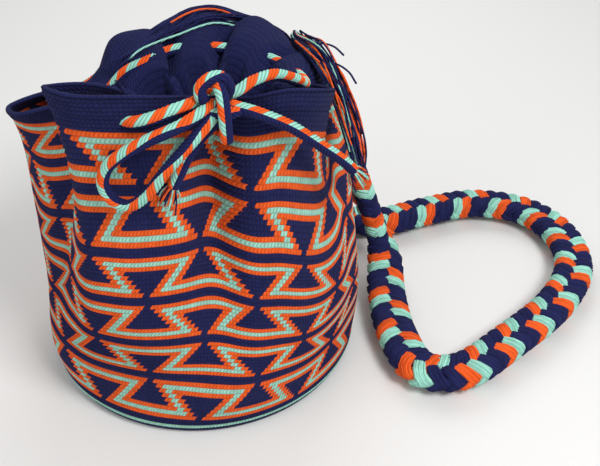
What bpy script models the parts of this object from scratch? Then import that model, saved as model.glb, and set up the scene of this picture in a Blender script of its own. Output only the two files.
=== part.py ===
"""Crocheted mochila bag: a soft round bag with a gathered rim, drawn shut by a cord that is tied in a bow,
with a thick plaited strap and loose yarn at both strap ends. Metres, +Z up, the flat base stands on z = 0
and the bow is on the side that faces -Y."""

import math

import bpy
from mathutils import Vector

# Bag
BASE_RADIUS = 0.112
BASE_RINGS = (0.040, 0.080, BASE_RADIUS)
EDGE_RADIUS = 0.1185
EDGE_HIGH = 0.006
CLOTH = 0.003
AROUND = 74
WALL_ROWS = 13
# The wall at rest: the radius of the bag at three heights.
WALL = ((0.120, 0.045), (0.117, 0.100), (0.107, 0.182))
# Sag of the wall, as soft waves: how deep, how many round the bag, at what height, how tall.
SAGS = ((0.0022, 5, 0.060, 0.030, 0.4), (0.0020, 4, 0.110, 0.030, 2.1), (0.0018, 6, 0.150, 0.026, 4.0))

# The rim's height at which the wall stands at its full height: it sinks with a lower rim.
RIM_HIGH = 0.252
# The rim as the cord has drawn it together, anticlockwise from the fold under the knot: the angle of the wall
# under it in degrees, x, y, z, how far the fold goes on down the wall (positive is drawn in, negative bulges
# out), and how high the cloth rolls up behind the rim before it dips to it.
RIM = (
    (-83, 0.0140, -0.0780, 0.2480, 0.026, 0.000),
    (-72, 0.0320, -0.0990, 0.2565, 0.004, 0.000),
    (-62, 0.0560, -0.1060, 0.2630, -0.004, 0.000),
    (-52, 0.0790, -0.0950, 0.2560, -0.004, 0.000),
    (-41, 0.0895, -0.0690, 0.2430, 0.000, 0.000),
    (-32, 0.0790, -0.0500, 0.2380, 0.004, 0.000),
    (-22, 0.0590, -0.0440, 0.2360, 0.006, 0.004),
    (-11, 0.0720, -0.0270, 0.2330, 0.000, 0.010),
    (3, 0.0680, -0.0080, 0.2300, -0.004, 0.016),
    (16, 0.0520, -0.0130, 0.2270, 0.004, 0.012),
    (30, 0.0480, 0.0020, 0.2330, 0.000, 0.022),
    (46, 0.0340, 0.0060, 0.2360, -0.004, 0.026),
    (59, 0.0220, -0.0110, 0.2300, 0.004, 0.016),
    (72, 0.0130, 0.0010, 0.2370, 0.000, 0.026),
    (88, -0.0030, 0.0010, 0.2370, -0.004, 0.027),
    (101, -0.0130, -0.0170, 0.2300, 0.004, 0.016),
    (113, -0.0230, -0.0090, 0.2350, 0.000, 0.022),
    (126, -0.0370, -0.0100, 0.2310, -0.002, 0.016),
    (137, -0.0400, -0.0270, 0.2260, 0.004, 0.006),
    (146, -0.0580, -0.0130, 0.2220, 0.000, 0.004),
    (157, -0.0880, 0.0040, 0.2190, -0.008, 0.000),
    (169, -0.1170, -0.0120, 0.2180, -0.016, 0.000),
    (178, -0.1090, -0.0340, 0.2205, -0.008, 0.000),
    (192, -0.0770, -0.0410, 0.2300, 0.006, 0.000),
    (207, -0.0420, -0.0560, 0.2450, 0.018, 0.000),
    (222, -0.0580, -0.0800, 0.2640, 0.006, 0.000),
    (232, -0.0800, -0.0940, 0.2700, -0.010, 0.000),
    (241, -0.0640, -0.1110, 0.2710, -0.008, 0.000),
    (253, -0.0320, -0.1130, 0.2690, -0.002, 0.000),
    (265, -0.0040, -0.1010, 0.2610, 0.008, 0.000),
)

# Drawstring: one round cord, threaded through the wall a little under the rim. The eyelets are cut by its own
# route, made a little fatter.
CORD = 0.0076
HOLE = 0.0088
CORD_STEP = 0.014
# Its route, from the left of the knot, in through the front-left fold, all round the mouth, and back over
# the rim to the right of the knot.
THREADED = (
    (0.0090, -0.1015, 0.2620),
    (-0.0050, -0.1100, 0.2605),
    (-0.0205, -0.1155, 0.2580),
    (-0.0330, -0.1110, 0.2540),
    (-0.0430, -0.0960, 0.2510),
    (-0.0510, -0.0760, 0.2470),
    (-0.0590, -0.0600, 0.2400),
    (-0.0680, -0.0450, 0.2300),
    (-0.0720, -0.0280, 0.2210),
    (-0.0660, -0.0120, 0.2190),
    (-0.0530, -0.0060, 0.2250),
    (-0.0400, -0.0060, 0.2330),
    (-0.0250, -0.0040, 0.2390),
    (-0.0090, 0.0040, 0.2420),
    (0.0080, 0.0050, 0.2430),
    (0.0240, 0.0060, 0.2410),
    (0.0410, 0.0040, 0.2380),
    (0.0560, -0.0020, 0.2350),
    (0.0680, -0.0140, 0.2330),
    (0.0740, -0.0320, 0.2340),
    (0.0730, -0.0520, 0.2400),
    (0.0650, -0.0710, 0.2530),
    (0.0510, -0.0850, 0.2640),
    (0.0370, -0.0955, 0.2660),
    (0.0290, -0.1000, 0.2635),
)
# The loop of the bow and the two ends, which start at the knot.
BOW = (
    (0.0104, -0.1105, 0.2590),
    (-0.0055, -0.1185, 0.2535),
    (-0.0225, -0.1195, 0.2470),
    (-0.0390, -0.1165, 0.2370),
    (-0.0490, -0.1130, 0.2270),
    (-0.0530, -0.1115, 0.2150),
    (-0.0490, -0.1120, 0.2040),
    (-0.0390, -0.1150, 0.2010),
    (-0.0280, -0.1180, 0.2100),
    (-0.0160, -0.1200, 0.2260),
    (-0.0020, -0.1195, 0.2415),
    (0.0097, -0.1142, 0.2518),
)
LEFT_END = (
    (0.0116, -0.1062, 0.2455),
    (0.0045, -0.1050, 0.2370),
    (-0.0030, -0.1065, 0.2270),
    (-0.0090, -0.1085, 0.2160),
    (-0.0140, -0.1090, 0.2060),
)
RIGHT_END = (
    (0.0282, -0.1088, 0.2570),
    (0.0405, -0.1110, 0.2530),
    (0.0575, -0.1100, 0.2430),
    (0.0745, -0.1060, 0.2275),
    (0.0895, -0.1000, 0.2120),
    (0.0985, -0.0940, 0.1995),
)
# The knot: centre, width and depth of its sections from the top down.
KNOT = (
    ((0.0190, -0.0995, 0.2725), 0.0060, 0.0050),
    ((0.0190, -0.1000, 0.2700), 0.0130, 0.0100),
    ((0.0190, -0.1015, 0.2660), 0.0165, 0.0135),
    ((0.0190, -0.1035, 0.2615), 0.0145, 0.0120),
    ((0.0190, -0.1055, 0.2570), 0.0185, 0.0150),
    ((0.0190, -0.1075, 0.2520), 0.0150, 0.0120),
    ((0.0190, -0.1095, 0.2475), 0.0160, 0.0130),
    ((0.0190, -0.1110, 0.2435), 0.0110, 0.0085),
    ((0.0190, -0.1120, 0.2410), 0.0050, 0.0040),
)

# Strap: a flat plait of eight bundles, swept from the left of the rim down the back, round on the floor and up
# to the right of the rim. Each point of the route has the way that its broad face looks.
STRAP_WIDTH = 0.036
STRAP_THICK = 0.022
STRAP_BUMP = 0.0013
STRAP_STEP = 0.0073
STRAP_SIDES = 10
STRAP = (
    ((-0.0173, 0.1182, 0.1688), (-0.15, 0.93, 0.33)),
    ((-0.0240, 0.1264, 0.1300), (-0.18, 0.97, 0.10)),
    ((-0.0280, 0.1320, 0.0850), (-0.20, 0.97, 0.00)),
    ((-0.0300, 0.1350, 0.0500), (-0.15, 0.90, 0.30)),
    ((-0.0260, 0.1470, 0.0260), (0.00, 0.55, 0.80)),
    ((-0.0050, 0.1620, 0.0140), (0.00, 0.00, 1.00)),
    ((0.0350, 0.1630, 0.0138), (0.00, 0.00, 1.00)),
    ((0.0780, 0.1470, 0.0138), (0.00, 0.00, 1.00)),
    ((0.1200, 0.1190, 0.0138), (0.00, 0.00, 1.00)),
    ((0.1640, 0.1020, 0.0138), (0.00, 0.00, 1.00)),
    ((0.2100, 0.1120, 0.0138), (0.00, 0.00, 1.00)),
    ((0.2600, 0.1190, 0.0138), (0.00, 0.00, 1.00)),
    ((0.3040, 0.1000, 0.0138), (0.00, 0.00, 1.00)),
    ((0.3240, 0.0600, 0.0138), (0.00, 0.00, 1.00)),
    ((0.3180, 0.0120, 0.0138), (0.00, 0.00, 1.00)),
    ((0.2840, -0.0320, 0.0138), (0.00, 0.00, 1.00)),
    ((0.2300, -0.0710, 0.0138), (0.00, 0.00, 1.00)),
    ((0.1880, -0.0950, 0.0138), (0.00, 0.00, 1.00)),
    ((0.1570, -0.0880, 0.0138), (0.00, 0.00, 1.00)),
    ((0.1480, -0.0480, 0.0138), (0.00, 0.00, 1.00)),
    ((0.1500, 0.0000, 0.0160), (0.10, 0.00, 0.99)),
    ((0.1550, 0.0380, 0.0300), (0.50, 0.00, 0.86)),
    ((0.1450, 0.0600, 0.0600), (0.90, 0.20, 0.40)),
    ((0.1310, 0.0690, 0.0960), (0.88, 0.40, 0.25)),
    ((0.1160, 0.0740, 0.1350), (0.84, 0.48, 0.25)),
    ((0.1012, 0.0739, 0.1676), (0.74, 0.54, 0.40)),
    ((0.0933, 0.0709, 0.1935), (0.60, 0.48, 0.64)),
)

# Where the plait stops it is wound with yarn, and its loose yarn goes on from there: centres of the sections,
# the way they face, their width and depth.
BINDING_WIDTH = 0.031
BINDING_DEPTH = 0.0185
BINDING_LENGTH = 0.014
BINDING_SIDES = 12
TOUCH = 0.0003
YARN_SIDES = 12
YARN_START = 0.012
YARN_SHIFT = 0.0078
YARN_LEFT_START = 0.024
YARN_RIDGE = 0.0011
YARN_RIGHT = (
    ((0.0835, 0.0420, 0.2275), (0.50, 0.30, 0.81), 0.016, 0.010),
    ((0.0835, 0.0220, 0.2340), (0.35, 0.10, 0.93), 0.018, 0.010),
    ((0.0885, -0.0020, 0.2367), (0.35, 0.00, 0.94), 0.020, 0.010),
    ((0.0940, -0.0260, 0.2330), (0.50, -0.20, 0.84), 0.022, 0.010),
    ((0.0990, -0.0450, 0.2220), (0.80, -0.35, 0.50), 0.025, 0.011),
    ((0.1030, -0.0600, 0.2080), (0.86, -0.42, 0.28), 0.027, 0.010),
    ((0.1065, -0.0680, 0.1930), (0.88, -0.45, 0.15), 0.024, 0.008),
    ((0.1085, -0.0710, 0.1830), (0.88, -0.45, 0.10), 0.014, 0.005),
)
YARN_BACK = (
    ((0.0722, 0.0625, 0.2262), (0.30, 0.50, 0.81), 0.017, 0.009),
    ((0.0540, 0.0550, 0.2400), (0.25, 0.40, 0.88), 0.021, 0.009),
    ((0.0330, 0.0490, 0.2505), (0.10, 0.30, 0.95), 0.025, 0.009),
    ((0.0120, 0.0370, 0.2578), (0.00, 0.20, 0.98), 0.028, 0.009),
    ((-0.0080, 0.0270, 0.2535), (-0.05, 0.10, 0.99), 0.028, 0.008),
    ((-0.0280, 0.0130, 0.2485), (-0.20, 0.05, 0.98), 0.024, 0.006),
    ((-0.0430, -0.0030, 0.2410), (-0.30, 0.00, 0.95), 0.013, 0.005),
)
YARN_LEFT = (
    ((-0.0150, 0.1045, 0.1950), (-0.10, 0.75, 0.65), 0.024, 0.010),
    ((-0.0205, 0.0930, 0.2045), (-0.10, 0.70, 0.70), 0.026, 0.010),
    ((-0.0300, 0.0840, 0.2125), (-0.15, 0.68, 0.70), 0.026, 0.009),
    ((-0.0395, 0.0745, 0.2175), (-0.20, 0.65, 0.72), 0.022, 0.007),
    ((-0.0490, 0.0675, 0.2180), (-0.20, 0.60, 0.75), 0.012, 0.005),
)

COLLECTION = "wayuu_mochila_bag"


def material(name, colour, rough=0.9):
    made = bpy.data.materials.new(name)
    made.use_nodes = True
    shader = made.node_tree.nodes["Principled BSDF"]
    shader.inputs["Base Color"].default_value = (*colour, 1.0)
    shader.inputs["Roughness"].default_value = rough
    made.diffuse_color = (*colour, 1.0)
    return made


def spline(points, at, closed=False):
    """A point of the smooth curve through the points, where at counts the points."""
    count = len(points)
    i = math.floor(at)
    if not closed:
        i = min(max(i, 0), count - 2)
    t = at - i
    if closed:
        a, b, c, d = (points[(i + k) % count] for k in (-1, 0, 1, 2))
    else:
        b, c = points[i], points[i + 1]
        a = points[i - 1] if i > 0 else b * 2 - c
        d = points[i + 2] if i + 2 < count else c * 2 - b
    return 0.5 * (b * 2 + (c - a) * t + (a * 2 - b * 5 + c * 4 - d) * t * t + (b * 3 - a - c * 3 + d) * t ** 3)


def along(points, step):
    """Points of the smooth curve through the points, about step apart."""
    fine = [spline(points, k / 24) for k in range((len(points) - 1) * 24 + 1)]
    reach = [0.0]
    for a, b in zip(fine, fine[1:]):
        reach.append(reach[-1] + (b - a).length)
    count = max(2, round(reach[-1] / step))
    out = []
    k = 0
    for n in range(count + 1):
        want = reach[-1] * n / count
        while k < len(fine) - 2 and reach[k + 1] < want:
            k += 1
        share = (want - reach[k]) / max(reach[k + 1] - reach[k], 1e-9)
        out.append(fine[k].lerp(fine[k + 1], min(max(share, 0.0), 1.0)))
    return out


def rim_at(angle):
    """The rim over that angle of the wall, in degrees: its point, how far it folds in, and how high it rolls."""
    count = len(RIM)
    low = max(i for i in range(count) if RIM[i][0] <= angle)
    after = RIM[low + 1][0] if low + 1 < count else RIM[0][0] + 360
    share = (angle - RIM[low][0]) / (after - RIM[low][0])
    x, y, z, fold, roll = spline([Vector(p[1:]) for p in RIM], low + share, True)
    return Vector((x, y, z)), fold, roll


def sag(angle, z):
    return sum(deep * math.cos(waves * angle + turn) * math.exp(-(((z - high) / tall) ** 2))
               for deep, waves, high, tall, turn in SAGS)


def wall_column(n):
    """The wall from the edge of the base up to the rim, as WALL_ROWS + 1 points, at step n of the way round."""
    degrees = RIM[0][0] + 360 * n / AROUND
    rim, fold, roll = rim_at(degrees)
    angle = math.radians(degrees)
    out = Vector((math.cos(angle), math.sin(angle), 0.0))
    column = [out * EDGE_RADIUS + Vector((0, 0, EDGE_HIGH))]
    for (radius, high), part in zip(WALL, (0.0, 0.35, 1.0)):
        high = high - (RIM_HIGH - rim.z) * 0.5 * part
        radius = radius + sag(angle, high) - fold * part
        column.append(out * radius + Vector((0, 0, high)))
    shoulder = column[-1]
    top = shoulder.lerp(rim, 0.50)
    top.z = shoulder.z + (rim.z - shoulder.z) * 0.70 + roll
    column += [top, rim]
    rows = along(column, 0.001)
    last = len(rows) - 1
    return [rows[round(last * k / WALL_ROWS)] for k in range(WALL_ROWS + 1)]


def add_object(name, mesh, colour, collection):
    made = bpy.data.objects.new(name, mesh)
    made.data.materials.append(colour)
    collection.objects.link(made)
    return made


def bag_body(collection, colour):
    """The base disc and the wall, one crocheted piece."""
    columns = [wall_column(n) for n in range(AROUND)]
    points = [Vector((0, 0, 0))]
    for radius in BASE_RINGS:
        for column in columns:
            way = Vector((column[0].x, column[0].y, 0)).normalized()
            points.append(way * radius)
    for row in range(WALL_ROWS + 1):
        points += [column[row] for column in columns]
    faces = [(0, 1 + (n + 1) % AROUND, 1 + n) for n in range(AROUND)]
    for ring in range(len(BASE_RINGS) + WALL_ROWS):
        low = 1 + ring * AROUND
        high = low + AROUND
        for n in range(AROUND):
            m = (n + 1) % AROUND
            faces.append((low + n, low + m, high + m, high + n))
    mesh = bpy.data.meshes.new("bag_body")
    mesh.from_pydata([tuple(p) for p in points], [], faces)
    body = add_object("bag_body", mesh, colour, collection)
    cloth = body.modifiers.new("cloth", "SOLIDIFY")
    cloth.thickness = CLOTH
    cloth.offset = -1.0
    cloth.use_even_offset = False
    return body


def cord(name, route, thick, collection, colour, step=CORD_STEP):
    """A round cord with closed ends, along the smooth curve through the route."""
    points = along([Vector(p) for p in route], step)
    curve = bpy.data.curves.new(name, "CURVE")
    curve.dimensions = "3D"
    curve.bevel_depth = thick / 2
    curve.bevel_resolution = 2
    curve.use_fill_caps = True
    line = curve.splines.new("POLY")
    line.points.add(len(points) - 1)
    for spot, point in zip(line.points, points):
        spot.co = (*point, 1.0)
    return add_object(name, curve, colour, collection)


def loft(name, rings, collection, colour):
    """A closed body through rings that have the same number of points."""
    sides = len(rings[0])
    points = [p for ring in rings for p in ring]
    faces = [tuple(reversed(range(sides)))]
    for low in range(0, (len(rings) - 1) * sides, sides):
        for n in range(sides):
            m = (n + 1) % sides
            faces.append((low + n, low + m, low + sides + m, low + sides + n))
    last = (len(rings) - 1) * sides
    faces.append(tuple(range(last, last + sides)))
    mesh = bpy.data.meshes.new(name)
    mesh.from_pydata([tuple(p) for p in points], [], faces)
    return add_object(name, mesh, colour, collection)


def frame(way, face):
    """The directions across a band and out of its broad face, where the band runs along way."""
    across = face.cross(way).normalized()
    return across, way.cross(across).normalized()


def oval(centre, across, out, width, depth, sides, ridge=None):
    """A ring of points on an oval, with ridge(n) added to the radius of point n."""
    ring = []
    for n in range(sides):
        angle = 2 * math.pi * (n + 0.5) / sides
        more = ridge(n) if ridge else 0.0
        ring.append(centre + across * math.cos(angle) * (width / 2 + more)
                    + out * math.sin(angle) * (depth / 2 + more))
    return ring


def eyelet_cutter(collection, colour):
    """The way that the drawstring takes through the wall, with room round the cord."""
    points = along([Vector(p) for p in THREADED], CORD_STEP)
    last = len(points) - 1
    rings = []
    for i, point in enumerate(points):
        way = points[min(i + 1, last)] - points[max(i - 1, 0)]
        across, out = frame(way, Vector((0, 0, 1)))
        rings.append(oval(point, across, out, HOLE, HOLE, 8))
    return loft("eyelet_cutter", rings, collection, colour)


def strap(collection, colour):
    """The plait, as a flat oval band with a bump for each crossing of the bundles."""
    points = along([Vector(p) for p, face in STRAP], STRAP_STEP)
    count = len(points) - 1
    faces = [Vector(face) for p, face in STRAP]
    reach = [0.0]
    for (a, _), (b, _) in zip(STRAP, STRAP[1:]):
        reach.append(reach[-1] + math.dist(a, b))
    rings = []
    k = 0
    for i, point in enumerate(points):
        want = reach[-1] * i / count
        while k < len(reach) - 2 and reach[k + 1] < want:
            k += 1
        face = faces[k].lerp(faces[k + 1], (want - reach[k]) / (reach[k + 1] - reach[k]))
        way = points[min(i + 1, count)] - points[max(i - 1, 0)]
        across, out = frame(way, face)
        small = 0.88 if i in (0, count) else 1.0
        rings.append(oval(point, across, out, STRAP_WIDTH * small, STRAP_THICK * small, STRAP_SIDES,
                          lambda n: STRAP_BUMP * (-1) ** (n + i)))
    loft("strap", rings, collection, colour)
    return rings


def binding(name, route, collection, colour):
    """A band of yarn wound round the end of the plait. Returns where it stops, and the way across it."""
    (end, face), (before, _) = route[0], route[1]
    end = Vector(end)
    way = (end - Vector(before)).normalized()
    across, out = frame(way, Vector(face))
    rings = []
    for share, size in ((0.0, 0.86), (0.15, 0.96), (0.5, 1.0), (0.85, 0.96), (1.0, 0.82)):
        centre = end + way * (2 * TOUCH + BINDING_LENGTH * share)
        rings.append(oval(centre, across, out, BINDING_WIDTH * size, BINDING_DEPTH * size, BINDING_SIDES))
    loft(name, rings, collection, colour)
    return end + way * (BINDING_LENGTH + 3 * TOUCH), way, across, face


def yarn(name, bound, shift, width, sections, collection, colour):
    """Loose yarn that lies together as one ridged bundle, from a binding on."""
    start, way, side, face = bound
    start = start + side * shift
    sections = ((start, face, width, YARN_START),) + sections
    centres = [Vector(c) for c, face, width, depth in sections]
    rings = []
    last = len(sections) - 1
    for i in range(2 * last + 1):
        at = i / 2
        low = min(int(at), last - 1)
        part = at - low
        centre = spline(centres, at)
        facing = Vector(sections[low][1]).lerp(Vector(sections[low + 1][1]), part)
        width = sections[low][2] * (1 - part) + sections[low + 1][2] * part
        depth = sections[low][3] * (1 - part) + sections[low + 1][3] * part
        towards = spline(centres, min(at + 0.25, last)) - spline(centres, max(at - 0.25, 0)) if i else way
        across, out = frame(towards, facing)
        ridge = YARN_RIDGE * min(1.0, depth / 0.009)
        rings.append(oval(centre, across, out, width, depth, YARN_SIDES, lambda n: ridge * (-1) ** n))
    loft(name, rings, collection, colour)


def knot(collection, colour):
    rings = []
    for centre, width, depth in KNOT:
        rings.append(oval(Vector(centre), Vector((1, 0, 0)), Vector((0, -1, 0)), width, depth, 12))
    loft("drawstring_knot", rings, collection, colour)


def main():
    for old in list(bpy.data.objects):
        bpy.data.objects.remove(old)
    collection = bpy.data.collections.new(COLLECTION)
    bpy.context.scene.collection.children.link(collection)
    navy = material("navy_cotton", (0.012, 0.014, 0.085))
    mint = material("mint_cotton", (0.30, 0.72, 0.60))
    orange = material("orange_cotton", (0.95, 0.13, 0.02))
    cutters = bpy.data.collections.new("cutters")
    bpy.context.scene.collection.children.link(cutters)

    body = bag_body(collection, navy)
    threaded = eyelet_cutter(cutters, navy)
    threaded.hide_render = True
    threaded.display_type = "WIRE"
    eyelets = body.modifiers.new("eyelets", "BOOLEAN")
    eyelets.object = threaded
    eyelets.solver = "EXACT"

    cord("drawstring", THREADED, CORD, collection, mint)
    cord("drawstring_bow", BOW, CORD, collection, mint)
    cord("drawstring_left_end", LEFT_END, CORD, collection, mint)
    cord("drawstring_right_end", RIGHT_END, CORD, collection, mint)
    knot(collection, mint)

    strap(collection, orange)
    left = binding("strap_binding_left", STRAP, collection, navy)
    right = binding("strap_binding_right", STRAP[::-1], collection, navy)
    yarn("yarn_right", right, YARN_SHIFT, YARN_START, YARN_RIGHT, collection, navy)
    yarn("yarn_back", right, -YARN_SHIFT, YARN_START, YARN_BACK, collection, navy)
    yarn("yarn_left", left, 0.0, YARN_LEFT_START, YARN_LEFT, collection, navy)


main()
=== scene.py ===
"""Looks of the crocheted mochila bag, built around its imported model. Metres, +Z up, the front faces -Y."""

import math

import bpy
import numpy as np
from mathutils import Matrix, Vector


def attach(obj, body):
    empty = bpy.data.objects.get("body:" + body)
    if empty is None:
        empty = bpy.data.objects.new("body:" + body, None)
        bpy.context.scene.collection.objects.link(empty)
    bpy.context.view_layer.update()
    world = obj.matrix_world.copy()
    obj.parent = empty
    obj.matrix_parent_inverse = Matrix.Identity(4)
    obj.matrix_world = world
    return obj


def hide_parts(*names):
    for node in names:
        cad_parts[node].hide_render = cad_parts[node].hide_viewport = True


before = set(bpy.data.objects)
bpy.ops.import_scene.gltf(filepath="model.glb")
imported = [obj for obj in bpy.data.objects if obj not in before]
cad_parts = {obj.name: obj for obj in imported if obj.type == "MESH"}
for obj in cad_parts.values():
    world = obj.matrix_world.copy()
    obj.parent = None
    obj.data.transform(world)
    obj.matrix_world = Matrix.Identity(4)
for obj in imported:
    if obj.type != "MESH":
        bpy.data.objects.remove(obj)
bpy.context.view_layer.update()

# Colours of the three yarns, linear.
NAVY = (0.013, 0.016, 0.082)
ORANGE = (0.930, 0.115, 0.018)
MINT = (0.330, 0.700, 0.580)
# The darkest mint, reached in the painted shade of the furrows between stitches.
MINT_SHADED = (0.20, 0.27, 0.19)

UP = np.array([0.0, 0.0, 1.0])
# Steps of a smooth curve between two of its points.
CURVE_STEPS = 24
WALL_STEPS = 32
RIM_STEPS = 40

# Camera, from the vanishing lines of the photograph.
CAMERA_AT = (0.0, -0.55736, 0.50185)
CAMERA_TILT = 53.438
CAMERA_TURN = -7.911
CAMERA_LENS = 54.0

# Lamps: name, place, size and power. All look at one spot.
LAMPS = (
    ("key", (0.55, -0.75, 1.10), 0.45, 12.0),
    ("fill", (-0.9, -0.5, 0.7), 0.9, 3.5),
    ("back", (0.2, 0.9, 0.9), 0.8, 5.0),
)
LAMPS_AIM = (0.05, 0.0, 0.12)
FLOOR_HALF = 6.0

# Bag, as in the part's source, but with deeper sags, folds and rolls.
BASE_RADIUS = 0.112
EDGE_RADIUS = 0.1185
EDGE_HIGH = 0.006
CLOTH = 0.003
WALL = ((0.120, 0.045), (0.117, 0.100), (0.107, 0.182))
# The share of the rim's folds that reaches the edge and each height of WALL.
FOLD_PARTS = (0.0, 0.0, 0.35, 1.0)
# Sags: how deep, how many round, at which height, how tall, and the turn of the first.
SAGS = ((0.0034, 5, 0.060, 0.030, 0.4), (0.0030, 4, 0.110, 0.030, 2.1), (0.0026, 6, 0.150, 0.026, 4.0))
# The rim's height at which the wall stands at its full height.
RIM_HIGH = 0.252
# The rim: angle in degrees, place, how deep its fold is and how high the cloth rolls up behind it.
RIM = (
    (-83, 0.0140, -0.0780, 0.2480, 0.032, 0.000),
    (-72, 0.0320, -0.0990, 0.2565, 0.004, 0.000),
    (-62, 0.0560, -0.1060, 0.2630, -0.004, 0.000),
    (-52, 0.0790, -0.0950, 0.2560, -0.004, 0.000),
    (-41, 0.0895, -0.0690, 0.2430, 0.000, 0.000),
    (-32, 0.0790, -0.0500, 0.2380, 0.004, 0.000),
    (-22, 0.0590, -0.0440, 0.2360, 0.006, 0.004),
    (-11, 0.0720, -0.0270, 0.2330, 0.000, 0.010),
    (3, 0.0680, -0.0080, 0.2300, -0.004, 0.016),
    (16, 0.0520, -0.0130, 0.2270, 0.004, 0.024),
    (30, 0.0480, 0.0020, 0.2330, 0.000, 0.022),
    (46, 0.0340, 0.0060, 0.2360, -0.004, 0.026),
    (59, 0.0220, -0.0110, 0.2300, 0.004, 0.030),
    (72, 0.0130, 0.0010, 0.2370, 0.000, 0.026),
    (88, -0.0030, 0.0010, 0.2370, -0.004, 0.027),
    (101, -0.0130, -0.0170, 0.2300, 0.004, 0.028),
    (113, -0.0230, -0.0090, 0.2350, 0.000, 0.022),
    (126, -0.0370, -0.0100, 0.2310, -0.002, 0.023),
    (137, -0.0400, -0.0270, 0.2260, 0.004, 0.016),
    (146, -0.0580, -0.0130, 0.2220, 0.000, 0.006),
    (157, -0.0880, 0.0040, 0.2190, -0.008, 0.000),
    (169, -0.1170, -0.0120, 0.2180, -0.016, 0.000),
    (178, -0.1090, -0.0340, 0.2205, -0.008, 0.000),
    (192, -0.0770, -0.0410, 0.2300, 0.006, 0.000),
    (207, -0.0420, -0.0560, 0.2450, 0.023, 0.000),
    (222, -0.0580, -0.0800, 0.2640, 0.006, 0.000),
    (232, -0.0800, -0.0940, 0.2700, -0.010, 0.000),
    (241, -0.0640, -0.1110, 0.2710, -0.008, 0.000),
    (253, -0.0320, -0.1130, 0.2690, -0.002, 0.000),
    (265, -0.0040, -0.1010, 0.2610, 0.008, 0.000),
)

# Crochet: stitches in a row, rows from the edge of the base to the rim, and rows tucked in behind the rim.
REPEATS = 10
REPEAT = 32
STITCHES = REPEATS * REPEAT
ROWS = 75
TUCK_ROWS = 14
# The pattern: rows below its first band, rows of a band, the same with the stripe above it, the bands, and
# the stitch at which a repeat starts.
PATTERN_FROM = 3.0
BAND = 9
BAND_PITCH = 11
BANDS = 6
PATTERN_TURN = 6.0
# How the soft bag has settled: the turn of the wall's stations in degrees from the base up, the share of the
# wall's height at which rows lie, and how much lower they hang at angles in degrees.
TWIST = (-7.0, -4.0, -1.5, 0.0)
ROW_HEIGHTS = (
    (0, 0.0), (3, 0.033), (13, 0.185), (24, 0.300), (35, 0.430), (46, 0.565), (57, 0.740),
    (67, 0.905), (75, 1.0),
)
DROOP = (
    (-127, 0.000), (-108, -0.012), (-90, -0.040), (-72, 0.010), (-50, 0.085), (-30, 0.080), (10, 0.030),
    (60, 0.000), (180, 0.000),
)
DROOP_BLUR = 25
# The cloth that the drawstring has drawn into the mouth: how deep it hangs behind a high roll of the rim,
# how far the roll leans over the cord and rises above it, by how much of the wall's height the plain rows
# reach down outside, and the angles at which the cord shows between two rolls, with the width of the gap.
TUCK = 0.036
ROLL_LEAN = 0.011
ROLL_OVER = 0.010
ROLL_PLAIN = 0.15
CORD_SHOWS = (14, 60, 100, 134)
CORD_SHOWS_WIDE = 5.5
# A roll this high hides the cord fully. The rolls lean towards MOUTH.
FULL_ROLL = 0.014
MOUTH = (0.008, -0.035, 0.0)
# How far a stitch leans to the right over one row, and how round its side is.
LEAN = 0.52
ROUNDING = 0.30
ROW_RELIEF = 0.00045
# Half rows at least this tall have their full relief. The rim's edge is rounded over RIM_ROUND.
FULL_RELIEF = 0.001
RIM_ROUND = 0.0008
# The base: radii and how many rows they lie in from its edge, and the turn up to the wall, with its height.
BASE_ROWS = ((0.020, 24.0), (0.045, 18.0), (0.075, 11.0), (0.100, 4.0), (BASE_RADIUS, 1.5))
BASE_TURN = (0.1165, 0.0020, 0.6)

# Drawstring: a round braid, coloured on about half of its girth and navy on the rest. The plies cross each
# half slanted. A block of one colour is three plies long.
CORD = 0.0076
CORD_RELIEF = 0.00075
CORD_COLOURED = 0.46
CORD_LAY = 0.00267
CORD_SLANT = 7.5
CORD_BLOCK = 3
CORD_SIDES = 28
CORD_STEP = 0.00065
# Its coloured half looks away from the middle of the mouth or the bow, as the camera sees them.
CORD_MIDDLE = (0.0, -0.02, 0.22)
BOW_VIEW = (0.0, -0.86, 0.51)
# The loose yarns at its ends, with their colours as places in (navy, orange, mint).
FRAY = 0.013
FRAY_YARNS = 30
FRAY_THICK = 0.0010
FRAY_COLOURS = (0, 1, 1, 2)
FRAY_SEED = 5
THREADED = (
    (0.0165, -0.1020, 0.2630),
    (0.0090, -0.1015, 0.2620),
    (-0.0050, -0.1100, 0.2605),
    (-0.0205, -0.1155, 0.2580),
    (-0.0330, -0.1110, 0.2540),
    (-0.0430, -0.0960, 0.2510),
    (-0.0510, -0.0760, 0.2470),
    (-0.0590, -0.0600, 0.2400),
    (-0.0680, -0.0450, 0.2270),
    (-0.0720, -0.0280, 0.2150),
    (-0.0660, -0.0120, 0.2120),
    (-0.0530, -0.0060, 0.2200),
    (-0.0400, -0.0060, 0.2330),
    (-0.0250, -0.0040, 0.2390),
    (-0.0090, 0.0040, 0.2420),
    (0.0080, 0.0050, 0.2430),
    (0.0240, 0.0060, 0.2410),
    (0.0410, 0.0040, 0.2380),
    (0.0560, -0.0020, 0.2350),
    (0.0680, -0.0140, 0.2330),
    (0.0740, -0.0320, 0.2340),
    (0.0730, -0.0520, 0.2400),
    (0.0650, -0.0710, 0.2530),
    (0.0510, -0.0850, 0.2640),
    (0.0370, -0.0955, 0.2660),
    (0.0290, -0.1000, 0.2635),
    (0.0225, -0.1015, 0.2610),
)
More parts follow.
